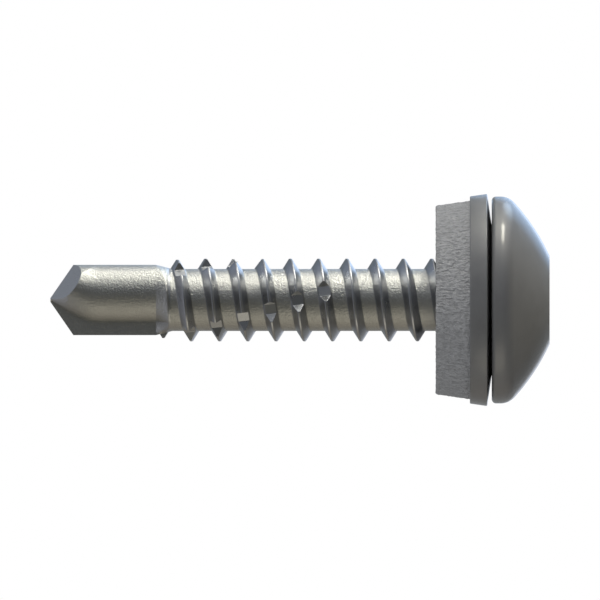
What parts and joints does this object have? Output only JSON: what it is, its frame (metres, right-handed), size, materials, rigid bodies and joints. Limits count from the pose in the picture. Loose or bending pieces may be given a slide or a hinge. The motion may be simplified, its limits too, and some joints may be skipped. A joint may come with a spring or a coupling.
{
  "type": "self drilling screw",
  "caption": "Self drilling screw with a domed round head, a bonded sealing washer, a notched sheet metal thread and a pinched drill point.",
  "frame": {"origin": "centre of the flat crown of the head, which the screw stands on", "axes": "+Z along the axis from the head to the drill point; X and Y are square to it, and the two flute faces of the point lie in the plane Y = 0"},
  "size_m": [0.012, 0.012, 0.0283],
  "materials": {
    "screw_steel": "blasted satin steel, smoother on the head and the thread",
    "washer_steel": "smooth satin steel",
    "seal_rubber": "matt grey rubber with a fine grain"
  },
  "bodies": {
    "screw": {"screw": "screw_steel"},
    "sealing_washer": {"washer_plate": "washer_steel", "rubber_seal": "seal_rubber"}
  },
  "joints": [
    {"name": "washer_spin", "type": "hinge", "parent": "screw", "child": "sealing_washer", "pos_m": [0, 0, 0.00378], "axis": [0, 0, 1], "continuous": true}
  ]
}
